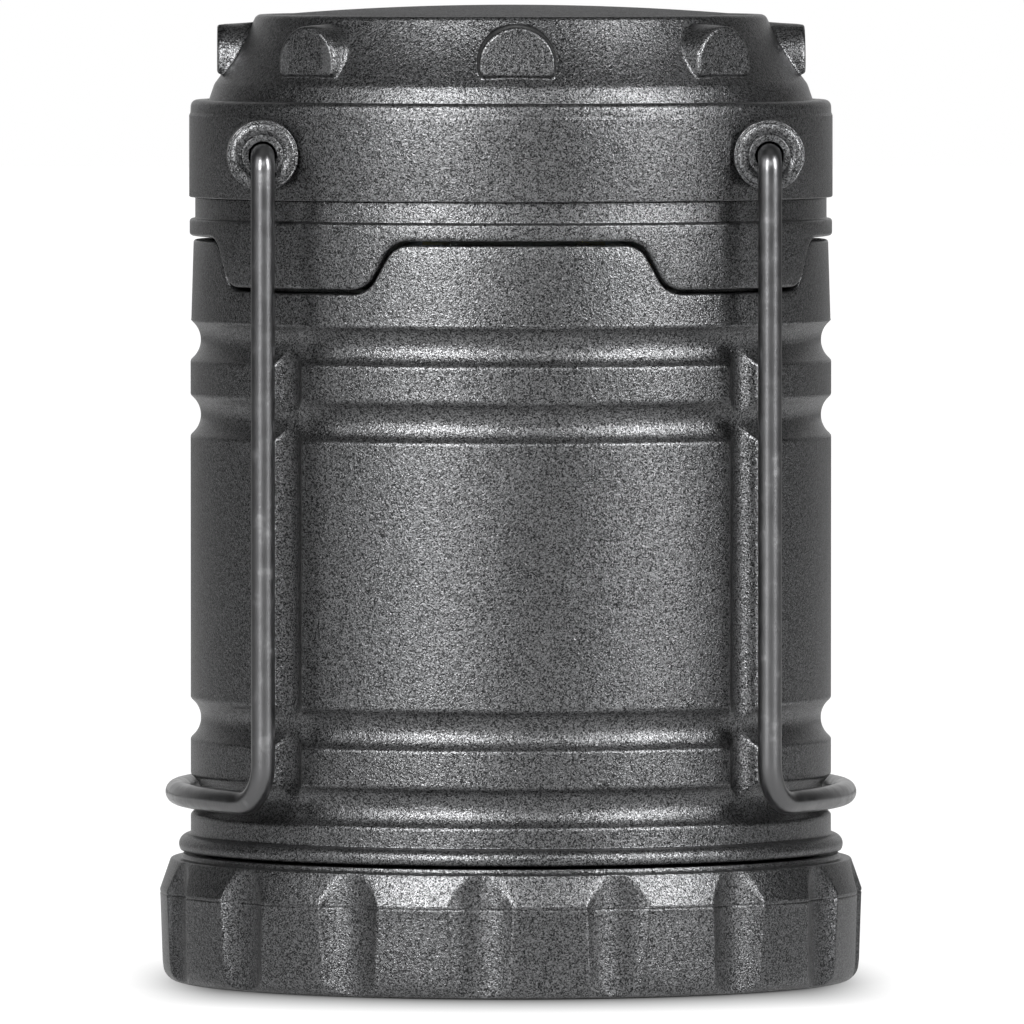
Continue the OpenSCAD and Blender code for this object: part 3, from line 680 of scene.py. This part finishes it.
def ranged(tree, source, low, high, start=0.0, end=1.0, interpolation="LINEAR"):
    """source from start to end becomes low to high, along a line or a smooth step."""
    made = node(tree, "ShaderNodeMapRange", [(source, "Value")], interpolation_type=interpolation)
    for label, value in (("From Min", start), ("From Max", end), ("To Min", low), ("To Max", high)):
        made.inputs[label].default_value = value
    return made.outputs["Result"]


def mixed(tree, mask, dark, light):
    """Colour that goes from dark to light with a mask."""
    made = tree.nodes.new("ShaderNodeMix")
    made.data_type = "RGBA"
    tree.links.new(mask, made.inputs[0])
    for index, value in ((6, dark), (7, light)):
        if isinstance(value, tuple):
            made.inputs[index].default_value = (*value, 1)
        else:
            tree.links.new(value, made.inputs[index])
    return made.outputs[2]


def bumped(tree, shader, height, strength, distance):
    """Bump from a height, with distance in metres."""
    made = node(tree, "ShaderNodeBump", [(height, "Height")])
    made.inputs["Strength"].default_value = strength
    made.inputs["Distance"].default_value = distance
    tree.links.new(made.outputs["Normal"], shader.inputs["Normal"])


def flake_paint(name, smoothest, roughest):
    """Gunmetal paint: bright and dark metal flakes under fine sandy texture, painted edge
    highlights.
    """
    made, tree, shader = new_material(name, Metallic=0.9)
    grain = grouped(tree, GRAIN)
    highlight_mask = grouped(tree, EDGE_HIGHLIGHT, Start=0.53, Sharpness=9.0)
    dark_flake, bright_flake = (0.011, 0.0112, 0.0115), (0.142, 0.143, 0.146)
    # Convex edges are lightened towards this colour: a painted highlight.
    highlight_colour = (0.2, 0.202, 0.206)
    flakes = mixed(tree, ranged(tree, grain.outputs["Flake"], 0, 1, 0.1, 1.0),
                   dark_flake, bright_flake)
    colour = mixed(tree, ranged(tree, highlight_mask.outputs["Mask"], 0, 0.3), flakes, highlight_colour)
    tree.links.new(colour, shader.inputs["Base Color"])
    rough = ranged(tree, grain.outputs["Drift"], smoothest, roughest, 0.3, 0.7)
    tree.links.new(rough, shader.inputs["Roughness"])
    bumped(tree, shader, grain.outputs["Height"], 0.74, 0.00008)
    return made


def nickel_wire():
    """Dull nickel wire under a thin clear lacquer, drawn lengthwise, with small nicks."""
    made, tree, shader = new_material("bail_wire", Metallic=1.0, Coat_Weight=0.4,
                                      Coat_Roughness=0.14)
    grain = grouped(tree, GRAIN, Grain_Scale=1900.0, Drift_Scale=420.0)
    nicks = ranged(tree, grain.outputs["Drift"], 0, 1, 0.62, 0.72)
    dull, bright_nick = (0.09, 0.09, 0.092), (0.125, 0.125, 0.127)
    colour = mixed(tree, nicks, dull, bright_nick)
    tree.links.new(colour, shader.inputs["Base Color"])
    tree.links.new(ranged(tree, grain.outputs["Drift"], 0.3, 0.44, 0.4, 0.75),
                   shader.inputs["Roughness"])
    bumped(tree, shader, grain.outputs["Height"], 0.3, 0.00006)
    return made


def moulding(name, dark, light, low_rough, high_rough, bump=0.15, scale=2200.0, metallic=0.0):
    """Moulded or plated stuff: a slight drift in colour and gloss, and a fine surface grain."""
    made, tree, shader = new_material(name, Metallic=metallic)
    grain = grouped(tree, GRAIN, Grain_Scale=scale, Drift_Scale=90.0)
    drift = ranged(tree, grain.outputs["Drift"], 0, 1, 0.3, 0.7)
    tree.links.new(mixed(tree, drift, dark, light), shader.inputs["Base Color"])
    tree.links.new(ranged(tree, drift, low_rough, high_rough), shader.inputs["Roughness"])
    bumped(tree, shader, grain.outputs["Height"], bump, 0.00005)
    return made


def clear_globe():
    """Clear moulded plastic with faint haze."""
    made, tree, shader = new_material("clear_globe", Transmission_Weight=1.0, IOR=1.49,
                                      Metallic=0.0)
    grain = grouped(tree, GRAIN, Drift_Scale=60.0)
    tree.links.new(ranged(tree, grain.outputs["Drift"], 0.02, 0.07, 0.3, 0.7),
                   shader.inputs["Roughness"])
    haze = mixed(tree, grain.outputs["Drift"], (0.96, 0.975, 0.98), (0.985, 0.99, 0.99))
    tree.links.new(haze, shader.inputs["Base Color"])
    return made


def cell_wrap():
    """A dark sleeve with a copper-coloured band at the cell's upper end."""
    made, tree, shader = new_material("cell_wrap", Metallic=0.6, Roughness=0.3)
    where = tree.nodes.new("ShaderNodeTexCoord").outputs["Object"]
    split = node(tree, "ShaderNodeSeparateXYZ", [(where, "Vector")])
    sleeve, copper = (0.02, 0.02, 0.022), (0.5, 0.27, 0.1)
    band = ranged(tree, split.outputs["Z"], 0, 1, 0.0448, 0.045)
    tree.links.new(mixed(tree, band, sleeve, copper), shader.inputs["Base Color"])
    return made


def dress_nodes(looks):
    """Gives each listed CAD node its material."""
    for material, names in looks:
        for name in names:
            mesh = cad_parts[name].data
            mesh.materials.clear()
            mesh.materials.append(material)


# ---- studio ----

def floor():
    """A pale floor, far larger than the lantern, with a soft dark rim where the lantern stands:
    a painted shadow.

    The camera sees it glow: from nothing at the foot to full white a few centimetres ahead and
    a few millimetres to the sides, and that fall-off paints the shadow. For light it is a plain
    pale floor.
    """
    made, tree, shader = new_material("pale_floor", Roughness=0.7)
    where = tree.nodes.new("ShaderNodeTexCoord").outputs["Object"]
    split = node(tree, "ShaderNodeSeparateXYZ", [(where, "Vector")])
    away = tree.nodes.new("ShaderNodeVectorMath")
    away.operation = "DISTANCE"
    away.inputs[1].default_value = (0, -0.003, 0)
    tree.links.new(where, away.inputs[0])
    ahead = ranged(tree, away.outputs["Value"], 0.0, 1.0, *PAINTED_SHADOW_AHEAD)
    sideways = math_node(tree, "ABSOLUTE", split.outputs["X"], 0)
    aside = ranged(tree, sideways, 0.0, 1.0, *PAINTED_SHADOW_ASIDE, "SMOOTHSTEP")
    # The glow is taken away round the lantern's foot, most at the foot itself: a painted shadow.
    near = math_node(tree, "SUBTRACT", 1.0, math_node(tree, "POWER", ahead, 0.7))
    painted_shadow = math_node(tree, "MULTIPLY", near, math_node(tree, "SUBTRACT", 1.0, aside))
    glow = math_node(tree, "SUBTRACT", 1.0, painted_shadow)
    path = tree.nodes.new("ShaderNodeLightPath").outputs["Is Camera Ray"]
    # To the camera the floor is nearly black but for its glow, so the painted shadow shows.
    for_light, dark_for_painted_shadow = (0.62, 0.62, 0.62), (0.02, 0.02, 0.02)
    shader.inputs["Emission Color"].default_value = (1, 1, 1, 1)
    tree.links.new(math_node(tree, "MULTIPLY", glow, path), shader.inputs["Emission Strength"])
    tree.links.new(mixed(tree, path, for_light, dark_for_painted_shadow), shader.inputs["Base Color"])
    mesh = bpy.data.meshes.new("floor")
    half = 6.0
    mesh.from_pydata([(-half, -half, 0), (half, -half, 0), (half, half, 0), (-half, half, 0)],
                     [], [(0, 1, 2, 3)])
    mesh.materials.append(made)
    plane = bpy.data.objects.new("floor", mesh)
    bpy.context.scene.collection.objects.link(plane)


def softbox(name, azimuth, elevation, reach, size, power):
    """A soft rectangular light, aimed at the lantern's middle.

    Azimuth 0 is straight in front of the lantern. Reach and size are in metres, power in watts.
    """
    target = Vector((0, 0, 0.06))
    turn, lift = math.radians(azimuth), math.radians(elevation)
    away = Vector((math.sin(turn) * math.cos(lift), -math.cos(turn) * math.cos(lift),
                   math.sin(lift)))
    data = bpy.data.lights.new(name, "AREA")
    data.shape = "RECTANGLE"
    data.size, data.size_y = size
    data.energy = power
    light = bpy.data.objects.new(name, data)
    light.location = target + away * reach
    light.rotation_euler = (-away).to_track_quat("-Z", "Y").to_euler()
    bpy.context.scene.collection.objects.link(light)


def surround():
    """White to the camera; to everything else, dim in front, brighter above and behind."""
    world = bpy.data.worlds.new("studio")
    bpy.context.scene.world = world
    world.use_nodes = True
    tree = world.node_tree
    tree.nodes.clear()
    where = tree.nodes.new("ShaderNodeTexCoord").outputs["Generated"]
    split = node(tree, "ShaderNodeSeparateXYZ", [(where, "Vector")])
    in_front, at_back, overhead = 0.06, 0.72, 0.35
    behind = ranged(tree, split.outputs["Y"], in_front, at_back, 0.66, 1.0)
    above = ranged(tree, split.outputs["Z"], 0.0, overhead, 0.86, 1.0)
    felt = math_node(tree, "ADD", behind, above)
    path = tree.nodes.new("ShaderNodeLightPath")
    strength = tree.nodes.new("ShaderNodeMix")
    for source, target in ((path.outputs["Is Camera Ray"], 0), (felt, 2)):
        tree.links.new(source, strength.inputs[target])
    strength.inputs[3].default_value = 1.0
    white = node(tree, "ShaderNodeBackground", [(strength.outputs[0], "Strength")])
    white.inputs["Color"].default_value = (1, 1, 1, 1)
    node(tree, "ShaderNodeOutputWorld", [(white.outputs[0], "Surface")])


def studio():
    """Two tall softboxes high in front, weak ones round them, and a white surround."""
    softbox("left_box", -30, 26, 1.3, (0.38, 0.84), 27.5)
    softbox("right_box", 52, 26, 1.3, (0.38, 0.84), 25.5)
    softbox("left_side_box", -66, 24, 1.3, (0.4, 0.84), 3.2)
    softbox("fill_box", 8, 30, 1.5, (0.5, 0.5), 4)
    surround()
    bpy.context.scene.view_settings.view_transform = "Standard"


def camera():
    """A long lens, a little above the lantern and nearly square to its front."""
    azimuth, reach, height = math.radians(-1.2), 2.386, 0.144
    aim = Vector((0.00014, 0, 0.0593))
    data = bpy.data.cameras.new("camera")
    data.lens, data.sensor_width = 662, 36
    data.clip_end = 50
    made = bpy.data.objects.new("camera", data)
    made.location = (reach * math.sin(azimuth), -reach * math.cos(azimuth), height)
    made.rotation_euler = (aim - made.location).to_track_quat("-Z", "Y").to_euler()
    bpy.context.scene.collection.objects.link(made)
    bpy.context.scene.camera = made


camera()
paint = flake_paint("flake_paint", 0.27, 0.33)
wire = nickel_wire()
housing(paint)
base_cap(paint)
skirt(paint)
collar(paint)
cap(paint)
top_disc(flake_paint("disc_paint", 0.5, 0.6))
bail("left_bail", -1, "left_bail", wire)
bail("right_bail", 1, "right_bail", wire)
dark_plastic = moulding("dark_moulding", (0.02, 0.021, 0.023), (0.035, 0.036, 0.038), 0.45, 0.6)
brass = moulding("contact_brass", (0.55, 0.4, 0.16), (0.7, 0.53, 0.24), 0.22, 0.35, 0.05,
                 metallic=1.0)
steel = moulding("plated_steel", (0.5, 0.5, 0.51), (0.62, 0.62, 0.63), 0.22, 0.32, 0.05,
                 metallic=1.0)
rubber = moulding("seal_rubber", (0.012, 0.012, 0.012), (0.02, 0.02, 0.02), 0.6, 0.75)
board = moulding("board", (0.015, 0.09, 0.035), (0.02, 0.12, 0.05), 0.3, 0.42, 0.08)
insulation = moulding("wire_insulation", (0.35, 0.015, 0.012), (0.45, 0.03, 0.02), 0.35, 0.45)
mirror = moulding("reflector", (0.84, 0.85, 0.86), (0.9, 0.9, 0.91), 0.04, 0.09, 0.02, metallic=1.0)
white = moulding("white_moulding", (0.76, 0.76, 0.74), (0.82, 0.82, 0.8), 0.35, 0.45)
white_board = moulding("white_board", (0.74, 0.74, 0.71), (0.8, 0.8, 0.77), 0.3, 0.4)
led = moulding("led", (0.8, 0.58, 0.08), (0.9, 0.7, 0.16), 0.25, 0.35)
dress_nodes([
    (dark_plastic, ["bulkhead", "battery_tube", "slide_ring"]),
    (cell_wrap(), ["aa_batteries"]),
    (brass, ["positive_contacts", "contact_strips", "wipers"]),
    (steel, ["inner_screws", "contact_springs", "board_screws", "driver_screws",
             "column_screws", "collar_screws"]),
    (rubber, ["base_seal", "cap_seal"]),
    (board, ["contact_board", "driver_board"]),
    (clear_globe(), ["globe"]),
    (insulation, ["lead_wires"]),
    (mirror, ["upper_reflector", "lower_reflector"]),
    (white, ["led_column"]),
    (white_board, ["led_boards"]),
    (led, ["led_chips"]),
])
floor()
studio()
